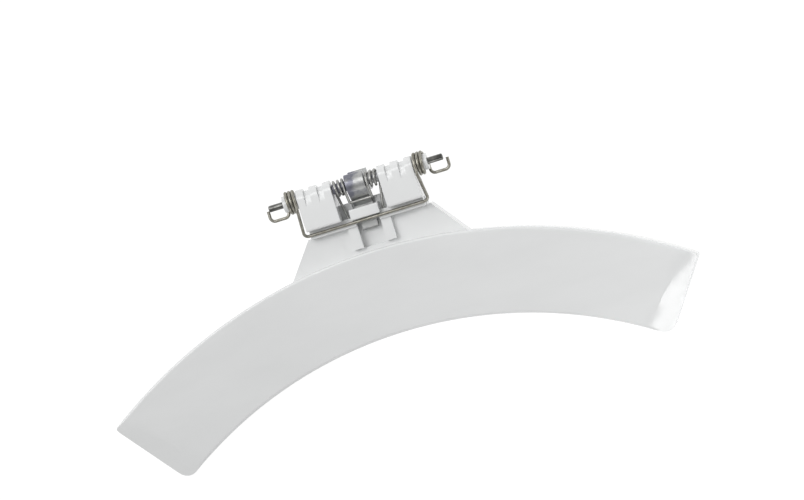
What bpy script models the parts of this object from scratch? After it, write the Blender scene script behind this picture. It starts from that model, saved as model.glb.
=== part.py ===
"""Washing machine door handle: moulded grip with its hinge pin, springs and latch hook.

Frame: origin in the middle of the hinge pin, +X along the pin, +Y from the grip
towards the hinge, +Z out of the front face. Lengths are in metres.
"""

import math

import bmesh
import bpy
from mathutils import Matrix, Vector

# Clearances between pieces
SEAT_GAP = 0.0003
BORE_CLEARANCE = 0.0003

# Hinge pin
PIN_DIAMETER = 0.0025
PIN_LENGTH = 0.0688
PIN_CHAMFER = 0.0003

# Curved finger grip
GRIP_OUTER_RADIUS = 0.2000
GRIP_WIDTH = 0.0334
GRIP_ANGLE = math.radians(70.5)
GRIP_DEPTH = 0.0200
GRIP_DRAFT = 0.0008
GRIP_WALL = 0.0024
GRIP_FACE_THICKNESS = 0.0026
GRIP_EDGE_RADIUS = 0.0012
GRIP_CROWN = 0.0003
GRIP_FACE_FALL = 0.0110
GRIP_INNER_CORNER = 0.0045
GRIP_OUTER_CORNER = 0.0010
END_FACET_DROP = 0.0030
END_FACET_INNER = 0.0092
END_FACET_OUTER = 0.0030
RIM_STEP = 0.0004
RIB_THICKNESS = 0.0016
RIB_SET_BACK = 0.0020
RIB_BAYS = 10

# Where the grip lies from the pin
PIN_TO_GRIP_EDGE = 0.0260
PIN_TO_GRIP_FACE = 0.0020

# Hinge blocks, one on each side of the latch slot
BARREL_RADIUS = 0.0038
SLOT_WIDTH = 0.0186
BLOCK_WIDTH = 0.0135
BLOCK_LENGTH = 0.0124
BLOCK_EDGE_RADIUS = 0.0010
BLOCK_BEVEL = 0.0003
BLOCK_WALL = 0.0022
BLOCK_RISE = 0.0005
BLOCK_FOOT = 0.0062
BLOCK_BACK_ANGLE = math.radians(-112.0)
LEDGE_WIDTH = 0.0034
LEDGE_DROP = 0.0050
LEDGE_EDGE_RADIUS = 0.0007
GROOVE_WIDTH = 0.0024
GROOVE_DEPTH = 0.0010
GROOVES_PER_BLOCK = 2

# End bosses that carry the return spring's coils
BOSS_LENGTH = 0.0057

# Neck between the blocks and the grip
NECK_SURFACE_DROP = 0.0050
NECK_THICKNESS = 0.0035
NECK_SKIRT = 0.0090
NECK_TOP_WIDTH = 0.0486
NECK_BASE_WIDTH = 0.0712
NECK_WALL = 0.0022
NECK_WEB = 0.0016

# Channel for the latch tail, and the bridge over it
CHANNEL_WIDTH = 0.0092
CHANNEL_FLOOR_DROP = 0.0017
CHANNEL_REACH = 0.0243
CHANNEL_RIB_WIDTH = 0.0039
CHANNEL_RIB_HEIGHT = 0.0022
SHELF_EDGE = 0.0066
BRIDGE_CLEARANCE = 0.0020
BRIDGE_WALL = 0.0010
BRIDGE_THICKNESS = 0.0022
BRIDGE_RISE = 0.0012
BRIDGE_EDGE_RADIUS = 0.0006

# Return spring: a coil round each boss, a U bar over the ledges, a hook at each end
RETURN_WIRE = 0.0012
RETURN_COIL_RADIUS = 0.0040
RETURN_PITCH = 0.00135
RETURN_TURNS = 2.5
RETURN_DRIFT = 0.0010
U_BAR_STAND_OFF = 0.0017
U_BAR_SPREAD = 0.0009
U_BAR_CORNER = 0.0016
SPRING_HOOK_DROP = 0.0051
SPRING_HOOK_REACH = 0.0074
SPRING_HOOK_RISE = 0.0043
SPRING_HOOK_CORNER = 0.0018

# Latch spring: two coils beside the latch hub
LATCH_WIRE = 0.0010
LATCH_COIL_RADIUS = 0.0028
LATCH_TURNS = 2.5
LATCH_BRIDGE_DROP = 0.0066
LATCH_LEG_INSET = 0.0015
LATCH_LEG_TIP = 0.0018
LATCH_WIRE_CORNER = 0.0008

# Latch hook
HUB_RADIUS = 0.0040
HUB_WIDTH = 0.0072
HUB_BOSS_RADIUS = 0.0020
TAIL_WIDTH = 0.0060
TAIL_REACH = 0.0182
TAIL_THICKNESS = 0.0022
LEVER_FOOT = 0.0086
SHANK_THICKNESS = 0.0042
THROAT_DEPTH = 0.0124
HOOK_DEPTH = 0.0175
NOSE_REACH = 0.0042
NOSE_TIP = 0.0016
HOOK_FILLET = 0.0008
HOOK_ROUND = 0.0012
TAIL_LAP = 0.0010

# Overlaps of joined solids, reach of cutters past a surface, and merging distance
BITE = 0.0012
LAP = 0.0002
CUT_MARGIN = 0.0010
WELD_DISTANCE = 0.00001

# Facets of the curved surfaces
WIRE_SIDES_RESOLUTION = 2
COIL_STEPS_PER_TURN = 16
ROUND_SIDES = 32
ARC_STEP = 0.0042
HIDDEN_ARC_STEP = 0.0070

# Worked out from the values above
BACK = PIN_TO_GRIP_FACE - GRIP_DEPTH
GRIP_INNER_RADIUS = GRIP_OUTER_RADIUS - GRIP_WIDTH
GRIP_MIDDLE_RADIUS = GRIP_OUTER_RADIUS - GRIP_WIDTH / 2
ARC_CENTRE_Y = -(PIN_TO_GRIP_EDGE + GRIP_OUTER_RADIUS)
FACE_SLOPE = GRIP_FACE_FALL / GRIP_WIDTH
PIN_RADIUS = PIN_DIAMETER / 2
BORE_RADIUS = PIN_RADIUS + BORE_CLEARANCE
SLOT_HALF = SLOT_WIDTH / 2
BLOCK_END = SLOT_HALF + BLOCK_WIDTH
BLOCK_FACE = BARREL_RADIUS
LEDGE_TOP = BLOCK_FACE - LEDGE_DROP
LEDGE_EDGE = BLOCK_LENGTH + LEDGE_WIDTH
NECK_SURFACE = -NECK_SURFACE_DROP
NECK_UNDERSIDE = NECK_SURFACE - NECK_THICKNESS
NECK_BACK = NECK_SURFACE - NECK_SKIRT
BLOCK_BACK = NECK_BACK + BLOCK_RISE
NECK_TOP_HALF = NECK_TOP_WIDTH / 2
NECK_BASE_HALF = NECK_BASE_WIDTH / 2
NECK_BASE_Y = ARC_CENTRE_Y + math.sqrt(GRIP_OUTER_RADIUS**2 - NECK_BASE_HALF**2) - GRIP_WALL / 2
NECK_SLOPE = math.atan((NECK_BASE_HALF - NECK_TOP_HALF) / (-LEDGE_EDGE - NECK_BASE_Y))
CHANNEL_HALF = CHANNEL_WIDTH / 2
CHANNEL_FLOOR = NECK_SURFACE - CHANNEL_FLOOR_DROP
U_BAR_Y = -BLOCK_LENGTH - U_BAR_STAND_OFF
BRIDGE_BACK = BRIDGE_RISE - BRIDGE_THICKNESS
BRIDGE_LOW_Y = U_BAR_Y + RETURN_WIRE / 2 + SEAT_GAP
BRIDGE_TOP_Y = -LATCH_BRIDGE_DROP - LATCH_WIRE / 2 - BRIDGE_CLEARANCE
BOSS_RADIUS = RETURN_COIL_RADIUS - RETURN_WIRE / 2 - SEAT_GAP
BOSS_END = BLOCK_END + BOSS_LENGTH
TAIL_BACK = CHANNEL_FLOOR + SEAT_GAP
TAIL_FRONT = TAIL_BACK + TAIL_THICKNESS
LATCH_LEG_Z = -LATCH_COIL_RADIUS


# Scene helpers

def clear_scene():
    for obj in list(bpy.data.objects):
        bpy.data.objects.remove(obj, do_unlink=True)
    for collection in list(bpy.data.collections):
        bpy.data.collections.remove(collection)


def new_collection(name):
    collection = bpy.data.collections.new(name)
    bpy.context.scene.collection.children.link(collection)
    return collection


def move_to(obj, collection):
    for owner in list(obj.users_collection):
        owner.objects.unlink(obj)
    collection.objects.link(obj)
    return obj


def mark_as_guide(obj):
    obj.hide_render = True
    obj.display_type = "WIRE"
    return obj


def make_material(name, colour, roughness, metallic):
    material = bpy.data.materials.new(name)
    material.use_nodes = True
    shader = material.node_tree.nodes["Principled BSDF"]
    shader.inputs["Base Color"].default_value = (*colour, 1.0)
    shader.inputs["Roughness"].default_value = roughness
    shader.inputs["Metallic"].default_value = metallic
    return material


def smooth(obj, angle=35.0):
    obj.data.shade_smooth()
    obj.data.set_sharp_from_angle(angle=math.radians(angle))
    return obj


def add_boolean(obj, operation, operands):
    modifier = obj.modifiers.new(operation.title(), "BOOLEAN")
    modifier.operation = operation
    modifier.solver = "EXACT"
    modifier.operand_type = "COLLECTION"
    modifier.collection = operands
    return modifier


def add_clean_up(obj):
    """Merges the points that a Boolean leaves twice, and its split flat faces."""
    weld = obj.modifiers.new("Weld", "WELD")
    weld.merge_threshold = WELD_DISTANCE
    planar = obj.modifiers.new("Planar", "DECIMATE")
    planar.decimate_type = "DISSOLVE"
    planar.angle_limit = math.radians(0.05)
    return weld, planar


def apply_modifiers(obj):
    """Keeps the object's finished shape as its mesh, so that its edges can be shaded."""
    bpy.context.view_layer.update()
    graph = bpy.context.evaluated_depsgraph_get()
    finished = bpy.data.meshes.new_from_object(obj.evaluated_get(graph))
    obj.modifiers.clear()
    obj.data = finished
    return smooth(obj)


def bevel_sharp_edges(obj, width):
    modifier = obj.modifiers.new("Bevel", "BEVEL")
    modifier.width = width
    modifier.segments = 1
    modifier.limit_method = "ANGLE"
    modifier.angle_limit = math.radians(60)
    return modifier


def side_name(side):
    return "right" if side > 0 else "left"


# Shape helpers

def along_x():
    """Turns a flat outline's x, y, z into the part's Y, Z, X."""
    return Matrix(((0, 0, 1, 0), (1, 0, 0, 0), (0, 1, 0, 0), (0, 0, 0, 1)))


def bake_curve(curve_object):
    """Replaces a curve object with a welded mesh object of the same name and place."""
    bpy.context.view_layer.update()
    graph = bpy.context.evaluated_depsgraph_get()
    mesh = bpy.data.meshes.new_from_object(curve_object.evaluated_get(graph))
    work = bmesh.new()
    work.from_mesh(mesh)
    bmesh.ops.remove_doubles(work, verts=work.verts, dist=0.000001)
    bmesh.ops.recalc_face_normals(work, faces=work.faces)
    work.to_mesh(mesh)
    work.free()
    mesh.shade_flat()
    name = curve_object.name
    place = curve_object.matrix_world.copy()
    bpy.data.objects.remove(curve_object, do_unlink=True)
    solid = bpy.data.objects.new(name, mesh)
    solid.matrix_world = place
    bpy.context.scene.collection.objects.link(solid)
    return solid


def plate(name, outline, low, high, turn=None):
    """A flat outline made solid between two heights, then turned in place."""
    curve = bpy.data.curves.new(name, "CURVE")
    curve.dimensions = "2D"
    curve.fill_mode = "BOTH"
    curve.extrude = (high - low) / 2
    spline = curve.splines.new("POLY")
    spline.points.add(len(outline) - 1)
    for point, (x, y) in zip(spline.points, outline):
        point.co = (x, y, 0.0, 1.0)
    spline.use_cyclic_u = True
    curve_object = bpy.data.objects.new(name, curve)
    bpy.context.scene.collection.objects.link(curve_object)
    lift = Matrix.Translation((0, 0, (low + high) / 2))
    curve_object.matrix_world = (turn or Matrix.Identity(4)) @ lift
    return bake_curve(curve_object)


def box(name, x_range, y_range, z_range):
    sizes = [high - low for low, high in (x_range, y_range, z_range)]
    middle = [(low + high) / 2 for low, high in (x_range, y_range, z_range)]
    bpy.ops.mesh.primitive_cube_add(size=1.0, location=middle)
    solid = bpy.context.active_object
    solid.name = name
    solid.data.transform(Matrix.Diagonal((*sizes, 1.0)))
    return solid


def rod_along(name, axis, radius, start, end, centre=(0.0, 0.0), sides=ROUND_SIDES):
    """A round bar along X or Y between two places on that axis."""
    length = end - start
    middle = (start + end) / 2
    turns = {"X": (0.0, math.pi / 2, 0.0), "Y": (math.pi / 2, 0.0, 0.0)}
    places = {"X": (middle, centre[0], centre[1]), "Y": (centre[0], middle, centre[1])}
    bpy.ops.mesh.primitive_cylinder_add(
        vertices=sides, radius=radius, depth=length, location=places[axis], rotation=turns[axis]
    )
    solid = bpy.context.active_object
    solid.name = name
    return solid


def arc_points(centre, radius, start, end, steps):
    """Points on an arc of a flat outline, angles in radians."""
    points = []
    for step in range(steps + 1):
        angle = start + (end - start) * step / steps
        points.append((centre[0] + radius * math.cos(angle), centre[1] + radius * math.sin(angle)))
    return points


def round_corner(before, corner, after, radius, steps):
    """Points on an arc that rounds one corner of a path in two or three dimensions."""
    corner = Vector(corner)
    to_before = Vector(before) - corner
    to_after = Vector(after) - corner
    turn = to_before.angle(to_after)
    cut = min(radius / math.tan(turn / 2), to_before.length / 2, to_after.length / 2)
    first = corner + to_before.normalized() * cut
    last = corner + to_after.normalized() * cut
    bisector = (to_before.normalized() + to_after.normalized()).normalized()
    centre = corner + bisector * (cut / math.cos(turn / 2))
    swing = math.pi - turn
    start_arm = first - centre
    end_arm = last - centre
    points = []
    for step in range(steps + 1):
        share = step / steps
        weight_start = math.sin((1 - share) * swing) / math.sin(swing)
        weight_end = math.sin(share * swing) / math.sin(swing)
        points.append(tuple(centre + start_arm * weight_start + end_arm * weight_end))
    return points


def rounded_outline(corners, steps=3):
    """A closed outline; a corner given as (x, y, radius) is rounded, one as (x, y) stays."""
    points = []
    count = len(corners)
    for index, corner in enumerate(corners):
        place = corner[:2]
        before = corners[index - 1][:2]
        after = corners[(index + 1) % count][:2]
        if len(corner) == 3:
            points.extend(round_corner(before, place, after, corner[2], steps))
        else:
            points.append(place)
    return points


def rounded_path(corners, radius, steps=4):
    """An open wire path through 3D corners, each inner corner rounded."""
    points = [corners[0]]
    for before, corner, after in zip(corners, corners[1:], corners[2:]):
        points.extend(round_corner(before, corner, after, radius, steps))
    points.append(corners[-1])
    return points


def wire(name, points, diameter, collection, material):
    """A round wire through the given points, with closed ends."""
    curve = bpy.data.curves.new(name, "CURVE")
    curve.dimensions = "3D"
    curve.bevel_depth = diameter / 2
    curve.bevel_resolution = WIRE_SIDES_RESOLUTION
    curve.use_fill_caps = True
    spline = curve.splines.new("POLY")
    spline.points.add(len(points) - 1)
    for point, place in zip(spline.points, points):
        point.co = (*place, 1.0)
    spline.use_smooth = True
    curve.materials.append(material)
    wire_object = bpy.data.objects.new(name, curve)
    collection.objects.link(wire_object)
    return wire_object


# Grip

def quarter_drop(distance, radius):
    """How far a rounded edge lies below its flat at a distance from the edge."""
    if distance >= radius:
        return 0.0
    return radius - math.sqrt(radius**2 - (radius - distance) ** 2)


def end_distances():
    """Distances from an end of the grip at which it has a section, up to its middle."""
    half_length = GRIP_MIDDLE_RADIUS * GRIP_ANGLE / 2
    corner_steps = 6
    distances = []
    for step in range(corner_steps + 1):
        distances.append(GRIP_INNER_CORNER * (1 - math.cos(math.pi / 2 * step / corner_steps)))
    even_length = half_length - GRIP_INNER_CORNER
    even_steps = math.ceil(even_length / ARC_STEP)
    for step in range(1, even_steps + 1):
        distances.append(GRIP_INNER_CORNER + even_length * step / even_steps)
    return distances


def grip_section(distance):
    """The grip's outline across its width, as (radius, z), at a distance from its end."""
    inner = GRIP_INNER_RADIUS + quarter_drop(distance, GRIP_INNER_CORNER)
    outer = GRIP_OUTER_RADIUS - quarter_drop(distance, GRIP_OUTER_CORNER)

    def face_height(radius):
        across = (radius - inner) / (outer - inner)
        crown = GRIP_CROWN * (2 * across - 1) ** 2
        fall = FACE_SLOPE * (GRIP_OUTER_RADIUS - radius)
        edge = quarter_drop(distance, GRIP_EDGE_RADIUS)
        return PIN_TO_GRIP_FACE - crown - fall - edge

    edge_steps = 4
    face_steps = 6
    section = [(inner + GRIP_DRAFT, BACK)]
    for step in range(edge_steps + 1):
        angle = math.pi / 2 * step / edge_steps
        radius = inner + GRIP_EDGE_RADIUS * (1 - math.cos(angle))
        section.append((radius, face_height(radius) - GRIP_EDGE_RADIUS * (1 - math.sin(angle))))
    flat_start = inner + GRIP_EDGE_RADIUS
    flat_end = outer - GRIP_EDGE_RADIUS
    for step in range(1, face_steps):
        radius = flat_start + (flat_end - flat_start) * step / face_steps
        section.append((radius, face_height(radius)))
    for step in range(edge_steps + 1):
        angle = math.pi / 2 * (1 - step / edge_steps)
        radius = outer - GRIP_EDGE_RADIUS * (1 - math.cos(angle))
        section.append((radius, face_height(radius) - GRIP_EDGE_RADIUS * (1 - math.sin(angle))))
    section.append((outer - GRIP_DRAFT, BACK))
    return section


def arc_place(radius, angle):
    """A point of the grip's plan; the angle is from the middle line, positive to +X."""
    return (radius * math.sin(angle), ARC_CENTRE_Y + radius * math.cos(angle))


def make_grip_body(name, collection, material):
    """The grip as a loft of its sections; its face slopes down to the inner edge."""
    distances = end_distances()
    stations = [(-1, distance) for distance in distances]
    stations += [(1, distance) for distance in reversed(distances[:-1])]
    work = bmesh.new()
    rings = []
    for side, distance in stations:
        angle = side * (GRIP_ANGLE / 2 - distance / GRIP_MIDDLE_RADIUS)
        ring = []
        for radius, z in grip_section(distance):
            ring.append(work.verts.new((*arc_place(radius, angle), z)))
        rings.append(ring)
    for ring, next_ring in zip(rings, rings[1:]):
        for index in range(len(ring)):
            before = index - 1
            work.faces.new((ring[before], ring[index], next_ring[index], next_ring[before]))
    work.faces.new(rings[0])
    work.faces.new(rings[-1])
    bmesh.ops.recalc_face_normals(work, faces=work.faces)
    mesh = bpy.data.meshes.new(name)
    work.to_mesh(mesh)
    work.free()
    grip = bpy.data.objects.new(name, mesh)
    grip.data.materials.append(material)
    collection.objects.link(grip)
    return grip


def band_outline(inner, outer, start, end):
    """The plan of a stretch of the grip between two radii and two angles."""
    steps = max(1, round(abs(end - start) * GRIP_MIDDLE_RADIUS / HIDDEN_ARC_STEP))
    points = []
    for step in range(steps + 1):
        points.append(arc_place(outer, start + (end - start) * step / steps))
    for step in range(steps + 1):
        points.append(arc_place(inner, end + (start - end) * step / steps))
    return points


def end_facet_corner(side, radius, distance, drop):
    """A point on the grip's face edge, at a distance from its end and lowered by a drop."""
    angle = side * (GRIP_ANGLE / 2 - distance / radius)
    fall = FACE_SLOPE * (GRIP_OUTER_RADIUS - radius)
    return Vector((*arc_place(radius, angle), PIN_TO_GRIP_FACE - GRIP_CROWN - fall - drop))


def make_end_facet(side):
    """Cutter for the slanting facet at one end, wide at the inner edge of the face."""
    outer = end_facet_corner(side, GRIP_OUTER_RADIUS, END_FACET_OUTER, 0.0)
    inner = end_facet_corner(side, GRIP_INNER_RADIUS, END_FACET_INNER, 0.0)
    down = end_facet_corner(side, GRIP_INNER_RADIUS, 0.0, END_FACET_DROP) - inner
    margin = (outer - inner) * 0.3
    floor = [
        outer + margin - down * 0.6,
        inner - margin - down * 0.6,
        inner - margin + down * 2.0,
        outer + margin + down * 2.0,
    ]
    top = [corner + Vector((0, 0, GRIP_DEPTH / 2)) for corner in floor]
    sides = [(a, (a + 1) % 4, (a + 1) % 4 + 4, a + 4) for a in range(4)]
    mesh = bpy.data.meshes.new(f"cut_end_facet_{side_name(side)}")
    mesh.from_pydata(floor + top, [], [(3, 2, 1, 0), (4, 5, 6, 7), *sides])
    work = bmesh.new()
    work.from_mesh(mesh)
    bmesh.ops.recalc_face_normals(work, faces=work.faces)
    work.to_mesh(mesh)
    work.free()
    cutter = bpy.data.objects.new(mesh.name, mesh)
    bpy.context.scene.collection.objects.link(cutter)
    return cutter


def slope_roof(cutter, angle):
    """Tips the roof of a cell cutter, so that the face above the cell is evenly thick."""
    for vertex in cutter.data.vertices:
        if vertex.co.z > BACK + RIB_SET_BACK:
            across = vertex.co.x * math.sin(angle) + (vertex.co.y - ARC_CENTRE_Y) * math.cos(angle)
            vertex.co.z -= FACE_SLOPE * (GRIP_OUTER_RADIUS - across)
    return cutter


def make_grip_pockets():
    """Cutters for the hollow back: one shallow recess and two rows of cells between ribs."""
    past_back = BACK - CUT_MARGIN
    rib_level = BACK + RIB_SET_BACK
    rim = GRIP_WALL - RIM_STEP
    rim_half = GRIP_ANGLE / 2 - rim / GRIP_MIDDLE_RADIUS
    outline = band_outline(GRIP_INNER_RADIUS + rim, GRIP_OUTER_RADIUS - rim, -rim_half, rim_half)
    cutters = [plate("cut_grip_recess", outline, past_back, rib_level)]
    pocket_half = GRIP_ANGLE / 2 - GRIP_WALL / GRIP_MIDDLE_RADIUS
    pocket_inner = GRIP_INNER_RADIUS + GRIP_WALL
    pocket_outer = GRIP_OUTER_RADIUS - GRIP_WALL
    rib_angle = RIB_THICKNESS / GRIP_MIDDLE_RADIUS
    bay_angle = (2 * pocket_half + rib_angle) / RIB_BAYS
    rows = (
        ("inner", pocket_inner, GRIP_MIDDLE_RADIUS - RIB_THICKNESS / 2),
        ("outer", GRIP_MIDDLE_RADIUS + RIB_THICKNESS / 2, pocket_outer),
    )
    for bay in range(RIB_BAYS):
        start = -pocket_half + bay * bay_angle
        end = start + bay_angle - rib_angle
        roof = PIN_TO_GRIP_FACE - GRIP_CROWN - GRIP_FACE_THICKNESS
        if bay in (0, RIB_BAYS - 1):
            roof -= END_FACET_DROP
        for row, inner, outer in rows:
            outline = band_outline(inner, outer, start, end)
            cell = plate(f"cut_grip_cell_{row}_{bay}", outline, rib_level - CUT_MARGIN, roof)
            cutters.append(slope_roof(cell, (start + end) / 2))
    return cutters


# Hinge blocks and neck

def make_block(side):
    """One hinge block: barrel, flat front face, sloping back, and its end boss."""
    outline = arc_points((0.0, 0.0), BARREL_RADIUS, BLOCK_BACK_ANGLE, math.pi / 2, 18)
    outline += [
        (-BLOCK_LENGTH, BLOCK_FACE, BLOCK_EDGE_RADIUS),
        (-BLOCK_LENGTH, NECK_SURFACE - BITE),
        (-LEDGE_EDGE - BITE, NECK_SURFACE - BITE),
        (-LEDGE_EDGE - BITE, BLOCK_BACK),
        (-BLOCK_FOOT, BLOCK_BACK),
    ]
    low, high = sorted((side * SLOT_HALF, side * BLOCK_END))
    name = f"add_block_{side_name(side)}"
    block = plate(name, rounded_outline(outline), low, high, along_x())
    bevel_sharp_edges(block, BLOCK_BEVEL)
    start, end = sorted((side * (BLOCK_END - BITE), side * BOSS_END))
    boss = rod_along(f"add_boss_{side_name(side)}", "X", BOSS_RADIUS, start, end)
    return [block, boss]


def block_core_outline():
    """The hollow of a block in Y and Z, which follows its sloping back inside the wall."""
    start = (BARREL_RADIUS * math.cos(BLOCK_BACK_ANGLE), BARREL_RADIUS * math.sin(BLOCK_BACK_ANGLE))
    run = (-BLOCK_FOOT - start[0]) / (BLOCK_BACK - start[1])
    inset = BLOCK_WALL * math.hypot(1.0, run)
    roof = BLOCK_FACE - BLOCK_WALL
    low_y = -BLOCK_LENGTH + BLOCK_WALL
    high_y = -BORE_RADIUS - BLOCK_WALL
    back = NECK_BACK - CUT_MARGIN

    def slope_y(z):
        return start[0] + run * (z - start[1]) - inset

    bend = start[1] + (high_y + inset - start[0]) / run
    return [(low_y, roof), (low_y, back), (slope_y(back), back), (high_y, bend), (high_y, roof)]


def make_ledge():
    """The low step in front of the blocks, on which the return spring's U bar lies."""
    outline = rounded_outline(
        [
            (-BLOCK_LENGTH + LAP, LEDGE_TOP),
            (-LEDGE_EDGE, LEDGE_TOP, LEDGE_EDGE_RADIUS),
            (-LEDGE_EDGE, NECK_SURFACE - 2 * BITE),
            (-BLOCK_LENGTH + LAP, NECK_SURFACE - 2 * BITE),
        ]
    )
    half = BLOCK_END - BLOCK_BEVEL
    return plate("add_ledge", outline, -half, half, along_x())


def make_neck():
    """The trapezoid neck, still solid at the back."""
    outline = [
        (-NECK_TOP_HALF, -LEDGE_EDGE + LAP),
        (NECK_TOP_HALF, -LEDGE_EDGE + LAP),
        (NECK_BASE_HALF, NECK_BASE_Y),
        (-NECK_BASE_HALF, NECK_BASE_Y),
    ]
    return plate("add_neck", outline, NECK_BACK, NECK_SURFACE)


def make_slot_floor():
    """What closes the lower end of the latch slot, before the tail channel is cut."""
    shelf = box(
        "add_shelf",
        (-SLOT_HALF - BITE, SLOT_HALF + BITE),
        (-LEDGE_EDGE + LAP / 2, -SHELF_EDGE),
        (NECK_UNDERSIDE, NECK_SURFACE),
    )
    rib_half = CHANNEL_HALF + CHANNEL_RIB_WIDTH
    ribs = box(
        "add_channel_ribs",
        (-rib_half, rib_half),
        (-CHANNEL_REACH, -LEDGE_EDGE + BITE),
        (NECK_SURFACE - BITE, NECK_SURFACE + CHANNEL_RIB_HEIGHT),
    )
    outline = rounded_outline(
        [
            (BRIDGE_LOW_Y, NECK_SURFACE - BITE),
            (BRIDGE_TOP_Y, NECK_SURFACE - BITE),
            (BRIDGE_TOP_Y, BRIDGE_RISE, BRIDGE_EDGE_RADIUS),
            (BRIDGE_LOW_Y, BRIDGE_RISE, BRIDGE_EDGE_RADIUS),
        ]
    )
    bridge_half = CHANNEL_HALF + BRIDGE_WALL
    bridge = plate("add_bridge", outline, -bridge_half, bridge_half, along_x())
    return [shelf, ribs, bridge]


def neck_half_width(y):
    """Half the neck's width where its sides slope out towards the grip."""
    share = (y + LEDGE_EDGE) / (NECK_BASE_Y + LEDGE_EDGE)
    return NECK_TOP_HALF + share * (NECK_BASE_HALF - NECK_TOP_HALF)


def neck_cell(name, top_y, top_x, near_x, far_x):
    """Cutter for a cell of the hollow neck, its lower side along the grip's edge."""
    radius = GRIP_OUTER_RADIUS + NECK_WEB / 2
    steps = 6
    points = [(near_x, top_y), (top_x, top_y)]
    if abs(top_x) != abs(far_x):
        points.append((top_x, -LEDGE_EDGE))
    for step in range(steps + 1):
        x = far_x + (near_x - far_x) * step / steps
        points.append((x, ARC_CENTRE_Y + math.sqrt(radius**2 - x**2)))
    return plate(name, points, NECK_BACK - CUT_MARGIN, NECK_UNDERSIDE)


def make_neck_cutters():
    """Cutters for the tail channel, the leg holes and the hollow back of neck and blocks."""
    cutters = [
        box(
            "cut_channel",
            (-CHANNEL_HALF, CHANNEL_HALF),
            (-CHANNEL_REACH - LAP, -SHELF_EDGE + CUT_MARGIN),
            (CHANNEL_FLOOR, BRIDGE_BACK),
        )
    ]
    hole_end = -BLOCK_LENGTH - LATCH_LEG_TIP - 2 * SEAT_GAP
    side_far = neck_half_width(-PIN_TO_GRIP_EDGE) - NECK_WALL / math.cos(NECK_SLOPE)
    block_far = BLOCK_END - BLOCK_WALL
    core_x = SLOT_HALF + BLOCK_WALL
    core = block_core_outline()
    for side in (-1, 1):
        name = side_name(side)
        cutters.append(
            rod_along(
                f"cut_leg_hole_{name}",
                "Y",
                LATCH_WIRE / 2 + SEAT_GAP,
                hole_end,
                -BLOCK_LENGTH + CUT_MARGIN,
                centre=(side * latch_leg_x(), LATCH_LEG_Z),
                sides=ROUND_SIDES // 2,
            )
        )
        cutters.append(
            neck_cell(
                f"cut_neck_side_{name}",
                -BLOCK_LENGTH + BLOCK_WALL + LAP,
                side * (block_far - LAP),
                side * (core_x + LAP),
                side * side_far,
            )
        )
        middle_far = side * (core_x - NECK_WEB)
        cutters.append(
            neck_cell(
                f"cut_neck_middle_{name}",
                -LEDGE_EDGE - NECK_WALL,
                middle_far,
                side * NECK_WEB / 2,
                middle_far,
            )
        )
        low, high = sorted((side * core_x, side * block_far))
        cutters.append(plate(f"cut_block_core_{name}", core, low, high, along_x()))
    return cutters


def make_knuckle_cutters():
    """Grooves over the top of each barrel, which leave the row of knuckles."""
    radius = BARREL_RADIUS - GROOVE_DEPTH
    reach = 2 * BARREL_RADIUS
    outline = [
        (-BARREL_RADIUS * 0.9, BARREL_RADIUS + 0.00005),
        (-BARREL_RADIUS * 0.9, reach),
        (reach, reach),
        (reach, -reach),
        (0.0, -reach),
    ]
    outline += arc_points((0.0, 0.0), radius, -math.pi / 2, math.pi / 2, 14)
    knuckle = (BLOCK_WIDTH - GROOVES_PER_BLOCK * GROOVE_WIDTH) / (GROOVES_PER_BLOCK + 1)
    cutters = []
    for side in (-1, 1):
        for groove in range(GROOVES_PER_BLOCK):
            near = SLOT_HALF + knuckle * (groove + 1) + GROOVE_WIDTH * groove
            low, high = sorted((side * near, side * (near + GROOVE_WIDTH)))
            name = f"cut_groove_{side_name(side)}_{groove}"
            cutters.append(plate(name, outline, low, high, along_x()))
    return cutters


def make_handle(collection, guides, material):
    handle = make_grip_body("handle", collection, material)
    additions = bpy.data.collections.new("handle_additions")
    cuts = bpy.data.collections.new("handle_cuts")
    guides.children.link(additions)
    guides.children.link(cuts)
    added = make_block(-1) + make_block(1) + [make_ledge(), make_neck()] + make_slot_floor()
    for piece in added:
        mark_as_guide(move_to(piece, additions))
    bore = rod_along("cut_bore", "X", BORE_RADIUS, -BOSS_END - CUT_MARGIN, BOSS_END + CUT_MARGIN)
    removed = make_grip_pockets() + make_neck_cutters() + make_knuckle_cutters() + [bore]
    removed += [make_end_facet(-1), make_end_facet(1)]
    for piece in removed:
        mark_as_guide(move_to(piece, cuts))
    add_boolean(handle, "UNION", additions)
    add_clean_up(handle)
    add_boolean(handle, "DIFFERENCE", cuts)
    add_clean_up(handle)
    return apply_modifiers(handle)


# Pin and springs

def make_pin(collection, material):
    pin = rod_along("hinge_pin", "X", PIN_RADIUS, -PIN_LENGTH / 2, PIN_LENGTH / 2)
    bevel_sharp_edges(pin, PIN_CHAMFER)
    pin.data.materials.append(material)
    smooth(pin)
    return move_to(pin, collection)


def coil_points(radius, start_x, pitch, turns, drift=0.0):
    """A coil round the X axis that starts at its front and runs backwards over the top."""
    steps = round(turns * COIL_STEPS_PER_TURN)
    quarter = 0.25
    points = []
    for step in range(steps + 1):
        turn = turns * step / steps
        angle = math.pi / 2 - 2 * math.pi * turn
        late = max(0.0, turn - (turns - quarter)) / quarter
        x = start_x + pitch * turn + drift * late**2
        points.append((x, radius * math.cos(angle), radius * math.sin(angle)))
    return points


def mirrored(points):
    """The same path on the -X side, run the other way."""
    return [(-x, y, z) for x, y, z in reversed(points)]


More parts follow.
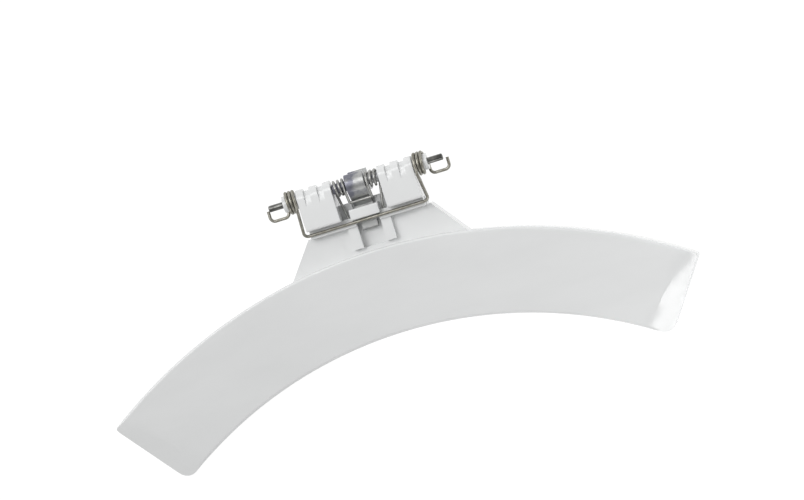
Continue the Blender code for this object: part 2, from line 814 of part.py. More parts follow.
def return_spring_half():
    """The wire from the middle of the U bar to the free end on the +X side."""
    radius = RETURN_COIL_RADIUS
    start_x = BLOCK_END + SEAT_GAP + RETURN_WIRE / 2
    coil = coil_points(radius, start_x, RETURN_PITCH, RETURN_TURNS, RETURN_DRIFT)
    bar_z = LEDGE_TOP + SEAT_GAP + RETURN_WIRE / 2
    bar_x = start_x + U_BAR_SPREAD
    arm = rounded_path(
        [
            (0.0, U_BAR_Y, bar_z),
            (bar_x, U_BAR_Y, bar_z),
            (start_x, -radius * 0.9, radius),
            (start_x, 0.0, radius),
        ],
        U_BAR_CORNER,
    )
    arm_x, _, arm_z = coil[-1]
    far_x = arm_x + SPRING_HOOK_REACH
    hook = rounded_path(
        [
            (arm_x, 0.0, arm_z),
            (arm_x, -SPRING_HOOK_DROP, arm_z),
            (far_x, -SPRING_HOOK_DROP, arm_z),
            (far_x, -SPRING_HOOK_DROP + SPRING_HOOK_RISE, arm_z),
        ],
        SPRING_HOOK_CORNER,
    )
    return arm[:-1] + coil + hook[1:]


def make_return_spring(collection, material):
    half = return_spring_half()
    points = mirrored(half)[:-1] + half[1:]
    return wire("return_spring", points, RETURN_WIRE, collection, material)


def latch_coil_start_x():
    return HUB_WIDTH / 2 + SEAT_GAP + LATCH_WIRE / 2


def latch_coil_end_x():
    return SLOT_HALF - SEAT_GAP - LATCH_WIRE / 2


def latch_leg_x():
    return latch_coil_end_x() - LATCH_LEG_INSET


def lever_slope():
    """The lever's front slope, tangent to the hub: the hub angle it leaves, and its foot."""
    foot = (-LEVER_FOOT, TAIL_FRONT)
    towards_foot = math.atan2(foot[1], foot[0]) % (2 * math.pi)
    leave_angle = towards_foot - math.acos(HUB_RADIUS / math.hypot(*foot))
    return leave_angle, foot


def latch_bridge_place():
    """Where the spring's middle bears on the lever's slope, as (y, z)."""
    leave_angle, _ = lever_slope()
    outward = (math.cos(leave_angle), math.sin(leave_angle))
    reach = HUB_RADIUS + SEAT_GAP + LATCH_WIRE / 2
    z = (reach + LATCH_BRIDGE_DROP * outward[0]) / outward[1]
    return -LATCH_BRIDGE_DROP, z


def latch_spring_half():
    """The wire from the middle of the lever to the leg tip on the +X side."""
    radius = LATCH_COIL_RADIUS
    start_x = latch_coil_start_x()
    end_x = latch_coil_end_x()
    pitch = (end_x - start_x) / LATCH_TURNS
    coil = coil_points(radius, start_x, pitch, LATCH_TURNS)
    bridge_y, bridge_z = latch_bridge_place()
    arm = rounded_path(
        [
            (0.0, bridge_y, bridge_z),
            (start_x, bridge_y, bridge_z),
            (start_x, -radius * 0.8, radius),
            (start_x, 0.0, radius),
        ],
        LATCH_WIRE_CORNER,
        steps=3,
    )
    leg_x = latch_leg_x()
    leg = rounded_path(
        [
            (end_x, 0.0, LATCH_LEG_Z),
            (end_x, -radius * 0.9, LATCH_LEG_Z),
            (leg_x, -BLOCK_LENGTH + 0.0012, LATCH_LEG_Z),
            (leg_x, -BLOCK_LENGTH - LATCH_LEG_TIP, LATCH_LEG_Z),
        ],
        LATCH_WIRE_CORNER,
        steps=3,
    )
    return arm[:-1] + coil + leg[1:]


def make_latch_spring(collection, material):
    half = latch_spring_half()
    points = mirrored(half)[:-1] + half[1:]
    return wire("latch_spring", points, LATCH_WIRE, collection, material)


# Latch hook

def make_latch_hook(collection, guides, material):
    """Hub, sloping lever, tail, shank and hook nose, with a boss on each side of the hub."""
    leave_angle, foot = lever_slope()
    outline = arc_points((0.0, 0.0), HUB_RADIUS, -math.pi / 2, leave_angle, 22)
    outline += [
        foot,
        (foot[0] - TAIL_LAP, TAIL_FRONT),
        (foot[0] - TAIL_LAP, TAIL_BACK),
        (-SHANK_THICKNESS, -HUB_RADIUS - HOOK_FILLET, HOOK_FILLET),
        (-SHANK_THICKNESS, -HOOK_DEPTH, HOOK_ROUND),
        (0.0, -HOOK_DEPTH, HOOK_FILLET),
        (NOSE_REACH, -THROAT_DEPTH - NOSE_TIP, HOOK_FILLET),
        (NOSE_REACH, -THROAT_DEPTH),
        (0.0, -THROAT_DEPTH, HOOK_FILLET),
    ]
    half_width = HUB_WIDTH / 2
    hook = plate("latch_hook", rounded_outline(outline), -half_width, half_width, along_x())
    bevel_sharp_edges(hook, BLOCK_BEVEL)
    tail_profile = rounded_outline(
        [
            (foot[0], TAIL_BACK),
            (foot[0], TAIL_FRONT),
            (-TAIL_REACH, TAIL_FRONT, TAIL_THICKNESS / 3),
            (-TAIL_REACH, TAIL_BACK, TAIL_THICKNESS / 3),
        ]
    )
    additions = bpy.data.collections.new("latch_additions")
    cuts = bpy.data.collections.new("latch_cuts")
    guides.children.link(additions)
    guides.children.link(cuts)
    tail = plate("add_tail", tail_profile, -TAIL_WIDTH / 2, TAIL_WIDTH / 2, along_x())
    boss_end = SLOT_HALF - SEAT_GAP
    boss = rod_along("add_hub_boss", "X", HUB_BOSS_RADIUS, -boss_end, boss_end)
    for piece in (tail, boss):
        mark_as_guide(move_to(piece, additions))
    bore = rod_along("cut_hub_bore", "X", BORE_RADIUS, -boss_end - CUT_MARGIN, boss_end + CUT_MARGIN)
    mark_as_guide(move_to(bore, cuts))
    add_boolean(hook, "UNION", additions)
    add_boolean(hook, "DIFFERENCE", cuts)
    add_clean_up(hook)
    hook.data.materials.append(material)
    apply_modifiers(hook)
    return move_to(hook, collection)


def make_joint_axis(name, collection):
    """An empty on the hinge line, whose X axis is the joint's axis."""
    axis = bpy.data.objects.new(name, None)
    axis.empty_display_type = "ARROWS"
    axis.empty_display_size = 0.02
    collection.objects.link(axis)
    return axis


def main():
    clear_scene()
    parts = new_collection("door_handle")
    guides = new_collection("construction_guides")

    white_plastic = make_material("white_moulded_abs", (0.80, 0.80, 0.79), 0.28, 0.0)
    pin_steel = make_material("ground_steel", (0.40, 0.40, 0.39), 0.30, 1.0)
    spring_steel = make_material("drawn_spring_steel", (0.34, 0.33, 0.30), 0.35, 1.0)
    latch_steel = make_material("small_spring_steel", (0.36, 0.36, 0.36), 0.35, 1.0)
    cast_zinc = make_material("cast_zinc", (0.46, 0.48, 0.52), 0.42, 1.0)

    handle_axis = make_joint_axis("handle_swing_axis", parts)
    latch_axis = make_joint_axis("latch_swing_axis", parts)

    make_pin(parts, pin_steel)
    make_return_spring(parts, spring_steel)
    handle = make_handle(parts, guides, white_plastic)
    handle.parent = handle_axis
    latch_spring = make_latch_spring(parts, latch_steel)
    latch_spring.parent = handle_axis
    latch_hook = make_latch_hook(parts, guides, cast_zinc)
    latch_axis.parent = handle_axis
    latch_hook.parent = latch_axis
    bpy.context.view_layer.update()


if __name__ == "__main__":
    main()
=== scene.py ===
"""Washing machine door handle: the finished looks of the moulding, pin, springs and latch.

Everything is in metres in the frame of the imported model: origin in the middle of the
hinge pin, +X along the pin, +Y from the grip towards the hinge, +Z out of the front.
"""

import math

import bmesh
import bpy
from mathutils import Matrix, Vector


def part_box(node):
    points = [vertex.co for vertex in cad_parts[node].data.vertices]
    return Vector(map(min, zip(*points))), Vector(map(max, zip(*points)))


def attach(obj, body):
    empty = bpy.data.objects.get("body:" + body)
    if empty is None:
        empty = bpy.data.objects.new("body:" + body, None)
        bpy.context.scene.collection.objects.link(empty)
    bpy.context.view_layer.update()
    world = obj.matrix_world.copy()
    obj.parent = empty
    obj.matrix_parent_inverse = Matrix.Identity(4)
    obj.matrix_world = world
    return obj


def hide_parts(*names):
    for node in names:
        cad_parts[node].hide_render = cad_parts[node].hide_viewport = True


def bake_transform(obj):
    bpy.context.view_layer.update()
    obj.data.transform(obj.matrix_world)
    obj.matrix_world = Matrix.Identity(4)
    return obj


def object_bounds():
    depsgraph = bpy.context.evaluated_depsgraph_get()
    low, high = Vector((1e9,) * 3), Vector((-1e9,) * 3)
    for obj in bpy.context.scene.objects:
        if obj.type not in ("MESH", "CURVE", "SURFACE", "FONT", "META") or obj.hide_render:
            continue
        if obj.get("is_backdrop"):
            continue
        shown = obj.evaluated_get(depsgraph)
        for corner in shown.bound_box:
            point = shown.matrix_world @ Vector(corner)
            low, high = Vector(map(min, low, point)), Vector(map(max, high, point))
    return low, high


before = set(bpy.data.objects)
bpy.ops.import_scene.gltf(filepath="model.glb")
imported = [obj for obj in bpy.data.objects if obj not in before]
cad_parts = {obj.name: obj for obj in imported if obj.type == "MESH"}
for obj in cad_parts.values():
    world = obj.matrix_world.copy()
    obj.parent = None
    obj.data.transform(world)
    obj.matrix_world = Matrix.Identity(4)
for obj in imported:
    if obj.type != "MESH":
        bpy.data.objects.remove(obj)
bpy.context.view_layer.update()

bl_info = {
    "name": "Door handle looks",
    "version": (1, 0, 0),
    "blender": (4, 5, 0),
    "location": "3D View > Sidebar > Door handle",
    "description": "Dresses the packed washing machine door handle and sets up its studio",
    "category": "Object",
}

PIN_LOW, PIN_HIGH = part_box("hinge_pin")

# In a copy of a CAD solid, points as near as this and faces as flat to each other as this join
WELD_DISTANCE = 0.000004
FLAT_ANGLE = math.radians(0.4)
# Shading breaks at edges past the first angle, and those past the second are rounded too
SHARP_ANGLE = math.radians(30)
ROUNDED_ANGLE = math.radians(50)
ROUNDING_SEGMENTS = 2

# The grip's end facets: how far from the middle they begin, how much their faces look
# upwards, between which angles they turn away from the grip's face, and by which angle two
# faces of one facet may differ
FACET_START = 0.088
FACET_RISE = 0.7
FACET_TURN = (math.radians(12), math.radians(20))
SAME_FACET = 0.02
# A cut through faces takes the points that lie as near to it as this
CUT_SNAP = 0.000001

# The pin: sides round it, how near its joined ends lie, and where its shading breaks
PIN_SIDES = 64
PIN_WELD_DISTANCE = 0.0000005
PIN_SHARP_ANGLE = math.radians(35)

# Wires: turns of each coil, the last part of a turn over which a coil drifts outwards,
# points for each turn and for each rounded corner, and sides round the wire
TURNS = 2.5
DRIFT_TURN = 0.25
STEPS_PER_TURN = 48
CORNER_STEPS = 10
WIRE_SIDES = 20
WIRE_SHARP_ANGLE = math.radians(50)

# The return spring's path on the +X side; a bend is given as a share of the coil's radius
RETURN_COIL_START = 0.0237
RETURN_DRIFT = 0.0010
RETURN_ARM_BEND = 0.9
U_BAR_Y = -0.0141
U_BAR_Z = -0.0003
U_BAR_SPREAD = 0.0009
U_BAR_CORNER = 0.0016
SPRING_HOOK_REACH = 0.0074
SPRING_HOOK_Y = -0.0051
SPRING_HOOK_TIP_Y = -0.0008
SPRING_HOOK_CORNER = 0.0018

# The latch spring's path on the +X side
LATCH_COIL_START = 0.0044
LATCH_COIL_END = 0.0085
LATCH_ARM_BEND = 0.8
LEVER_BRIDGE_Y = -0.0066
LEVER_BRIDGE_Z = -0.00049
LATCH_LEG_BEND = 0.9
LATCH_LEG_INSET = 0.0015
LATCH_LEG_Y = -0.0112
LATCH_LEG_TIP_Y = -0.0142
LATCH_LEG_Z = -0.0028
LATCH_WIRE_CORNER = 0.0008

# Shares of a colour: the pin's dark patches, the oil on the small spring, and the floor
PATCH_SHADE = 0.45
SMALL_OIL_SHADE = 0.7
FLOOR_SHADES = (0.18, 0.17)
# How much of the wire the oil covers, on the return spring and on the latch spring
RETURN_OIL = 0.45
LATCH_OIL = 0.3
# The painted shade that darkens the hub's -X side fades out between these places along the pin, and
# sets in between these in Y
SIDE_SHADE_X = (-0.0022, 0.0012)
SIDE_SHADE_Y = (-0.0060, -0.0035)
SIDE_SHADE_SHARE = 0.34

# The floor's glow for the light on the object, and for the camera and reflections
FLOOR_GLOW = (0.8, 0.93)
# Reflections see the white of the horizon up to the first height, and none above the second
HORIZON = (0.15, 0.6)

# Each lamp's place, the point that it is turned to, and its size
KEY_LAMP = ((-1.26, 1.10, 2.48), (0.0, -0.04, 0.0), 2.2)
FRONT_LAMP = ((0.087, -0.325, 0.159), (0.10, -0.075, 0.0), 0.08)
SIDE_LAMP = ((0.27, 0.06, 0.10), (0.0, 0.0, 0.0), 0.12)

# The floor's gap under the object, half its side, and its middle
FLOOR_GAP = 0.0002
FLOOR_REACH = 3.0
FLOOR_Y = -0.05

# Where the camera stands beside the line through the hinge pin, in its own picture plane
CAMERA_SHIFT_X = 0.01743
CAMERA_SHIFT_Y = -0.02519
SENSOR_WIDTH = 36.0

# The Mix node's colour sockets, which share their names with others: share, two colours, result
MIX_SHARE, MIX_FIRST, MIX_SECOND, MIX_RESULT = 0, 6, 7, 2


# Colours

def linear(hex_colour):
    """Turns an sRGB hex value into the linear colour that the shaders take."""
    channels = [int(hex_colour[place:place + 2], 16) / 255 for place in (1, 3, 5)]
    return tuple(c / 12.92 if c <= 0.04045 else ((c + 0.055) / 1.055) ** 2.4 for c in channels)


def with_alpha(colour):
    """The colour with full opacity, as a colour socket takes it."""
    return (colour[0], colour[1], colour[2], 1.0)


# Settings that a user would change

class MouldingSettings(bpy.types.PropertyGroup):
    edge: bpy.props.FloatProperty(
        name="Edge rounding",
        description="Radius of the small rounding on the moulding's sharp edges",
        default=0.00018,
        min=0.0,
        precision=5,
        unit="LENGTH",
    )
    softness: bpy.props.FloatProperty(
        name="Facet softness",
        description="Width on each side of an end facet's long edge over which its turn is eased",
        default=0.0046,
        min=0.0002,
        precision=5,
        unit="LENGTH",
    )
    colour: bpy.props.FloatVectorProperty(
        name="Plastic",
        description="Colour of the white plastic",
        default=linear("#E4E5E5"),
        min=0.0,
        max=1.0,
        subtype="COLOR",
    )
    flow_colour: bpy.props.FloatVectorProperty(
        name="Flow marks",
        description="Slightly greyer white of the faint flow marks in the plastic",
        default=linear("#E0E1E1"),
        min=0.0,
        max=1.0,
        subtype="COLOR",
    )


class PinSettings(bpy.types.PropertyGroup):
    diameter: bpy.props.FloatProperty(
        name="Diameter",
        description="Diameter of the hinge pin",
        default=PIN_HIGH.z - PIN_LOW.z,
        min=0.0005,
        precision=5,
        unit="LENGTH",
    )
    chamfer: bpy.props.FloatProperty(
        name="Chamfer",
        description="Width of the chamfer on both ends of the pin",
        default=0.0003,
        min=0.0,
        precision=5,
        unit="LENGTH",
    )
    colour: bpy.props.FloatVectorProperty(
        name="Steel",
        description="Colour of the ground steel",
        default=linear("#7E7E7B"),
        min=0.0,
        max=1.0,
        subtype="COLOR",
    )


class ReturnSpringSettings(bpy.types.PropertyGroup):
    wire: bpy.props.FloatProperty(
        name="Wire",
        description="Diameter of the return spring's wire",
        default=0.0012,
        min=0.0002,
        precision=5,
        unit="LENGTH",
    )
    radius: bpy.props.FloatProperty(
        name="Coil radius",
        description="Radius of the coils, measured to the middle of the wire",
        default=0.0040,
        min=0.001,
        precision=5,
        unit="LENGTH",
    )
    pitch: bpy.props.FloatProperty(
        name="Pitch",
        description="Distance between two turns of a coil",
        default=0.00135,
        min=0.0002,
        precision=5,
        unit="LENGTH",
    )
    colour: bpy.props.FloatVectorProperty(
        name="Steel",
        description="Colour of the drawn spring steel",
        default=linear("#A3A199"),
        min=0.0,
        max=1.0,
        subtype="COLOR",
    )
    oil_colour: bpy.props.FloatVectorProperty(
        name="Oil",
        description="Brown of the dried oil on the wire",
        default=linear("#7E7B70"),
        min=0.0,
        max=1.0,
        subtype="COLOR",
    )


class LatchHookSettings(bpy.types.PropertyGroup):
    edge: bpy.props.FloatProperty(
        name="Edge rounding",
        description="Radius of the small rounding on the casting's edges",
        default=0.00015,
        min=0.0,
        precision=5,
        unit="LENGTH",
    )
    colour: bpy.props.FloatVectorProperty(
        name="Zinc",
        description="Colour of the cast zinc",
        default=linear("#B2B3B2"),
        min=0.0,
        max=1.0,
        subtype="COLOR",
    )
    # This bluish grey colours both the random tarnish patches and the painted shade on the hub's -X
    # side
    tarnish_and_shade_colour: bpy.props.FloatVectorProperty(
        name="Dull zinc",
        description="Bluish grey of the zinc where it has gone dull",
        default=linear("#7C7D87"),
        min=0.0,
        max=1.0,
        subtype="COLOR",
    )


class LatchSpringSettings(bpy.types.PropertyGroup):
    wire: bpy.props.FloatProperty(
        name="Wire",
        description="Diameter of the latch spring's wire",
        default=0.0010,
        min=0.0002,
        precision=5,
        unit="LENGTH",
    )
    radius: bpy.props.FloatProperty(
        name="Coil radius",
        description="Radius of the coils, measured to the middle of the wire",
        default=0.0028,
        min=0.001,
        precision=5,
        unit="LENGTH",
    )
    colour: bpy.props.FloatVectorProperty(
        name="Steel",
        description="Colour of the small spring's steel",
        default=linear("#ABABA8"),
        min=0.0,
        max=1.0,
        subtype="COLOR",
    )


class StudioSettings(bpy.types.PropertyGroup):
    floor_colour: bpy.props.FloatVectorProperty(
        name="Floor",
        description="Colour of the pale floor",
        default=linear("#F4F4F4"),
        min=0.0,
        max=1.0,
        subtype="COLOR",
    )
    sky: bpy.props.FloatProperty(
        name="Sky",
        description="Strength of the even white light from all sides",
        default=0.37,
        min=0.0,
    )
    key: bpy.props.FloatProperty(
        name="Key light",
        description="Power of the large soft lamp high above, beyond the left of the hinge",
        default=61.0,
        min=0.0,
        unit="POWER",
    )
    front: bpy.props.FloatProperty(
        name="Front light",
        description="Power of the small lamp that lights up the right end of the grip",
        default=0.16,
        min=0.0,
        unit="POWER",
    )
    side: bpy.props.FloatProperty(
        name="Side light",
        description="Power of the low soft lamp on the right of the hinge",
        default=0.16,
        min=0.0,
        unit="POWER",
    )
    distance: bpy.props.FloatProperty(
        name="Camera distance",
        description="Distance of the camera from the hinge pin",
        default=2.2535,
        min=0.2,
        unit="LENGTH",
    )
    swing: bpy.props.FloatProperty(
        name="Camera swing",
        description="How far the camera stands to the right of straight above",
        default=math.radians(7.238),
        subtype="ANGLE",
    )
    tip: bpy.props.FloatProperty(
        name="Camera tip",
        description="How far the camera stands towards the hinge side",
        default=math.radians(2.175),
        subtype="ANGLE",
    )
    roll: bpy.props.FloatProperty(
        name="Camera roll",
        description="How far the picture of the handle is turned anticlockwise",
        default=math.radians(17.234),
        subtype="ANGLE",
    )
    lens: bpy.props.FloatProperty(
        name="Focal length",
        description="Focal length of the lens in millimetres, for a 36 mm wide image",
        default=268.66,
        min=10.0,
    )


# Nodes

def add_node(tree, kind, inputs=None, **settings):
    """Adds a node, sets its options, and fills its inputs with values or other outputs."""
    node = tree.nodes.new(kind)
    for name, value in settings.items():
        setattr(node, name, value)
    for place, value in (inputs or {}).items():
        socket = node.inputs[place]
        if isinstance(value, bpy.types.NodeSocket):
            tree.links.new(value, socket)
        else:
            socket.default_value = value
    return node


def new_material(name):
    """A material with an empty tree, and its output node."""
    material = bpy.data.materials.new(name)
    material.use_nodes = True
    tree = material.node_tree
    tree.nodes.clear()
    return material, tree, add_node(tree, "ShaderNodeOutputMaterial")


def white_moulded_abs(settings):
    """ABS, injection moulded in a finely polished tool.

    The eye gets an even soft gloss, a faint greyer drift where the melt flowed in, and a
    slight waviness of the skin that breaks up the reflections.
    """
    material, tree, output = new_material("white_abs_injection_moulded")
    place = add_node(tree, "ShaderNodeTexCoord").outputs["Object"]
    # Flow marks are some 17 mm across, and stretched along the grip.
    stretched = add_node(tree, "ShaderNodeMapping", {"Vector": place, "Scale": (22.0, 60.0, 60.0)})
    flow = add_node(
        tree,
        "ShaderNodeTexNoise",
        {"Vector": stretched.outputs["Vector"], "Scale": 1.0, "Detail": 3.0, "Roughness": 0.55},
    ).outputs["Fac"]
    share = add_node(
        tree, "ShaderNodeMapRange", {"Value": flow, "From Min": 0.35, "From Max": 0.7}
    ).outputs["Result"]
    colour = add_node(
        tree,
        "ShaderNodeMix",
        {
            MIX_SHARE: share,
            MIX_FIRST: with_alpha(settings.colour),
            MIX_SECOND: with_alpha(settings.flow_colour),
        },
        data_type="RGBA",
    ).outputs[MIX_RESULT]
    # The polished skin waves by about 2 mm in the real part; 2.5 mm here so that it shows.
    skin = add_node(
        tree, "ShaderNodeTexNoise", {"Vector": place, "Scale": 400.0, "Detail": 2.0}
    ).outputs["Fac"]
    roughness = add_node(
        tree,
        "ShaderNodeMapRange",
        {"Value": skin, "From Min": 0.3, "From Max": 0.7, "To Min": 0.17, "To Max": 0.23},
    ).outputs["Result"]
    bump = add_node(tree, "ShaderNodeBump", {"Strength": 0.12, "Distance": 0.00004, "Height": skin})
    shader = add_node(
        tree,
        "ShaderNodeBsdfPrincipled",
        {
            "Base Color": colour,
            "Roughness": roughness,
            "Normal": bump.outputs["Normal"],
            "IOR": 1.53,
            "Metallic": 0.0,
        },
    )
    tree.links.new(shader.outputs["BSDF"], output.inputs["Surface"])
    return material


def ground_steel(settings):
    """Carbon steel rod, centreless ground.

    Grinding leaves fine rings round the pin, so its highlight is drawn out along it, and
    the bare steel has gone slightly dark in patches.
    """
    material, tree, output = new_material("carbon_steel_centreless_ground")
    place = add_node(tree, "ShaderNodeTexCoord").outputs["Object"]
    # Grinding rings are some 0.05 mm apart; drawn 0.3 mm apart so that they show.
    rings = add_node(tree, "ShaderNodeMapping", {"Vector": place, "Scale": (3300.0, 60.0, 60.0)})
    ring = add_node(
        tree, "ShaderNodeTexNoise", {"Vector": rings.outputs["Vector"], "Scale": 1.0, "Detail": 2.0}
    ).outputs["Fac"]
    patch = add_node(
        tree, "ShaderNodeTexNoise", {"Vector": place, "Scale": 350.0, "Detail": 4.0}
    ).outputs["Fac"]
    dark = tuple(PATCH_SHADE * channel for channel in settings.colour)
    share = add_node(
        tree, "ShaderNodeMapRange", {"Value": patch, "From Min": 0.35, "From Max": 0.65}
    ).outputs["Result"]
    colour = add_node(
        tree,
        "ShaderNodeMix",
        {MIX_SHARE: share, MIX_FIRST: with_alpha(settings.colour), MIX_SECOND: with_alpha(dark)},
        data_type="RGBA",
    ).outputs[MIX_RESULT]
    roughness = add_node(
        tree,
        "ShaderNodeMapRange",
        {"Value": ring, "From Min": 0.3, "From Max": 0.7, "To Min": 0.28, "To Max": 0.42},
    ).outputs["Result"]
    bump = add_node(tree, "ShaderNodeBump", {"Strength": 0.3, "Distance": 0.00002, "Height": ring})
    shader = add_node(
        tree,
        "ShaderNodeBsdfPrincipled",
        {
            "Base Color": colour,
            "Roughness": roughness,
            "Normal": bump.outputs["Normal"],
            "Metallic": 1.0,
        },
    )
    tree.links.new(shader.outputs["BSDF"], output.inputs["Surface"])
    return material


def drawn_wire(name, colour, oil_colour, oil_share):
    """Spring steel, cold drawn through a die and left oiled.

    The die leaves lines along the wire, which stretch its highlight, and the dried oil
    gives it a brown cast that comes and goes along its length.
    """
    material, tree, output = new_material(name)
    along = add_node(tree, "ShaderNodeAttribute", attribute_name="wire_along").outputs["Fac"]
    round_it = add_node(tree, "ShaderNodeAttribute", attribute_name="wire_round").outputs["Fac"]
    # The die lines along the wire are some 0.03 mm apart; drawn some 25 to a turn so that they show.
    turn = add_node(
        tree, "ShaderNodeMath", {0: round_it, 1: 2 * math.pi}, operation="MULTIPLY"
    ).outputs[0]
    across = add_node(tree, "ShaderNodeMath", {0: turn}, operation="COSINE").outputs[0]
    upright = add_node(tree, "ShaderNodeMath", {0: turn}, operation="SINE").outputs[0]
    line_run = add_node(
        tree, "ShaderNodeMath", {0: along, 1: 60.0}, operation="MULTIPLY"
    ).outputs[0]
    lines_place = add_node(tree, "ShaderNodeCombineXYZ", {"X": across, "Y": upright, "Z": line_run})
    lines = add_node(
        tree,
        "ShaderNodeTexNoise",
        {"Vector": lines_place.outputs["Vector"], "Scale": 4.0, "Detail": 2.0},
    ).outputs["Fac"]
    # Oil stains are 2 to 4 mm long.
    stain_run = add_node(
        tree, "ShaderNodeMath", {0: along, 1: 400.0}, operation="MULTIPLY"
    ).outputs[0]
    stain_place = add_node(
        tree, "ShaderNodeCombineXYZ", {"X": across, "Y": upright, "Z": stain_run}
    )
    stain = add_node(
        tree,
        "ShaderNodeTexNoise",
        {"Vector": stain_place.outputs["Vector"], "Scale": 1.0, "Detail": 3.0},
    ).outputs["Fac"]
    share = add_node(
        tree,
        "ShaderNodeMapRange",
        {"Value": stain, "From Min": 0.6 - oil_share / 2, "From Max": 0.9 - oil_share / 2},
    ).outputs["Result"]
    mixed = add_node(
        tree,
        "ShaderNodeMix",
        {MIX_SHARE: share, MIX_FIRST: with_alpha(colour), MIX_SECOND: with_alpha(oil_colour)},
        data_type="RGBA",
    ).outputs[MIX_RESULT]
    roughness = add_node(
        tree,
        "ShaderNodeMapRange",
        {"Value": stain, "From Min": 0.3, "From Max": 0.7, "To Min": 0.30, "To Max": 0.48},
    ).outputs["Result"]
    bump = add_node(tree, "ShaderNodeBump", {"Strength": 0.3, "Distance": 0.00002, "Height": lines})
    shader = add_node(
        tree,
        "ShaderNodeBsdfPrincipled",
        {
            "Base Color": mixed,
            "Roughness": roughness,
            "Normal": bump.outputs["Normal"],
            "Metallic": 1.0,
        },
    )
    tree.links.new(shader.outputs["BSDF"], output.inputs["Surface"])
    return material


def cast_zinc(settings):
    """Zinc alloy, pressure die cast and left as it came out of the die.

    The skin is matt and faintly grainy, clean grey on the open faces and a bluer, less bright grey
    where the metal has tarnished. The hub's -X side also takes that bluer grey as painted shade.
    """
    material, tree, output = new_material("zinc_alloy_die_cast")
    place = add_node(tree, "ShaderNodeTexCoord").outputs["Object"]
    # Tarnish lies in patches of 3 to 4 mm.
    patch = add_node(
        tree, "ShaderNodeTexNoise", {"Vector": place, "Scale": 280.0, "Detail": 4.0}
    ).outputs["Fac"]
    # The cast grain is some 0.1 mm; drawn at 0.4 mm so that it shows.
    grain = add_node(
        tree, "ShaderNodeTexNoise", {"Vector": place, "Scale": 2500.0, "Detail": 2.0}
    ).outputs["Fac"]
    # Painted shade: the -X side of the hub is made darker and bluer than the rest.
    axes = add_node(tree, "ShaderNodeSeparateXYZ", {"Vector": place})
    left = add_node(
        tree,
        "ShaderNodeMapRange",
        {
            "Value": axes.outputs["X"],
            "From Min": SIDE_SHADE_X[0],
            "From Max": SIDE_SHADE_X[1],
            "To Min": SIDE_SHADE_SHARE,
            "To Max": 0.0,
        },
    ).outputs["Result"]
    hub = add_node(
        tree,
        "ShaderNodeMapRange",
        {"Value": axes.outputs["Y"], "From Min": SIDE_SHADE_Y[0], "From Max": SIDE_SHADE_Y[1]},
    ).outputs["Result"]
    painted_side_shade = add_node(tree, "ShaderNodeMath", {0: left, 1: hub}, operation="MULTIPLY").outputs[0]
    # Random tarnish patches plus the painted shade on the hub's -X side
    tarnish_and_shade = add_node(tree, "ShaderNodeMath", {0: patch, 1: painted_side_shade}, operation="ADD").outputs[0]
    share = add_node(
        tree, "ShaderNodeMapRange", {"Value": tarnish_and_shade, "From Min": 0.52, "From Max": 0.74}
    ).outputs["Result"]
    mixed = add_node(
        tree,
        "ShaderNodeMix",
        {
            MIX_SHARE: share,
            MIX_FIRST: with_alpha(settings.colour),
            MIX_SECOND: with_alpha(settings.tarnish_and_shade_colour),
        },
        data_type="RGBA",
    ).outputs[MIX_RESULT]
    roughness = add_node(
        tree,
        "ShaderNodeMapRange",
        {"Value": patch, "From Min": 0.35, "From Max": 0.65, "To Min": 0.38, "To Max": 0.55},
    ).outputs["Result"]
    bump = add_node(tree, "ShaderNodeBump", {"Strength": 0.35, "Distance": 0.00005, "Height": grain})
    shader = add_node(
        tree,
        "ShaderNodeBsdfPrincipled",
        {
            "Base Color": mixed,
            "Roughness": roughness,
            "Normal": bump.outputs["Normal"],
            "Metallic": 1.0,
        },
    )
    tree.links.new(shader.outputs["BSDF"], output.inputs["Surface"])
    return material


# Shapes

def link_piece(name, mesh, material):
    """Puts a finished mesh into the scene as a piece with one material."""
    mesh.name = name
    mesh.materials.clear()
    mesh.materials.append(material)
    piece = bpy.data.objects.new(name, mesh)
    bpy.context.scene.collection.objects.link(piece)
    return piece


def evaluated_mesh(obj):
    """The object's finished shape as a plain mesh."""
    bpy.context.view_layer.update()
    graph = bpy.context.evaluated_depsgraph_get()
    return bpy.data.meshes.new_from_object(obj.evaluated_get(graph))


def shade(mesh, sharp_angle):
    """Smooth shading, broken at the edges that turn by more than the given angle."""
    mesh.shade_smooth()
    mesh.set_sharp_from_angle(angle=sharp_angle)


def top_faces(work, side):
    """The faces near one end of the grip that look out of its front."""
    return [
        face
        for face in work.faces
        if side * face.calc_center_median().x > FACET_START and face.normal.z > FACET_RISE
    ]


def cut_faces(work, faces, place, across):
    """Cuts faces along a plane and leaves their shape as it is."""
    edges = {edge for face in faces for edge in face.edges}
    verts = {vert for face in faces for vert in face.verts}
    bmesh.ops.bisect_plane(
        work,
        geom=[*faces, *edges, *verts],
        dist=CUT_SNAP,
        plane_co=place,
        plane_no=across,
    )


def ease_end_facets(work, width):
    """Cuts bands beside the long edge of each end facet, so that its turn shades softly."""
    for side in (-1, 1):
        facet = max(top_faces(work, side), key=lambda face: face.calc_area())
        slant = facet.normal.copy()
        ridge = {
            tuple(vert.co)
            for edge in facet.edges
            if FACET_TURN[0] < edge.calc_face_angle() < FACET_TURN[1]
            for vert in edge.verts
        }
        ridge = [Vector(place) for place in sorted(ridge, key=lambda place: place[1])]
        along = (ridge[-1] - ridge[0]).normalized()
        across = along.cross(Vector((0, 0, 1))).normalized()
        middle = sum(ridge, Vector()) / len(ridge)
        for offset in (-width, width):
            cut_faces(work, top_faces(work, side), middle + across * offset, across)
        for place in ridge[1:-1]:
            flat = [face for face in top_faces(work, side) if face.normal.angle(slant) < SAME_FACET]
            cut_faces(work, flat, place, along)


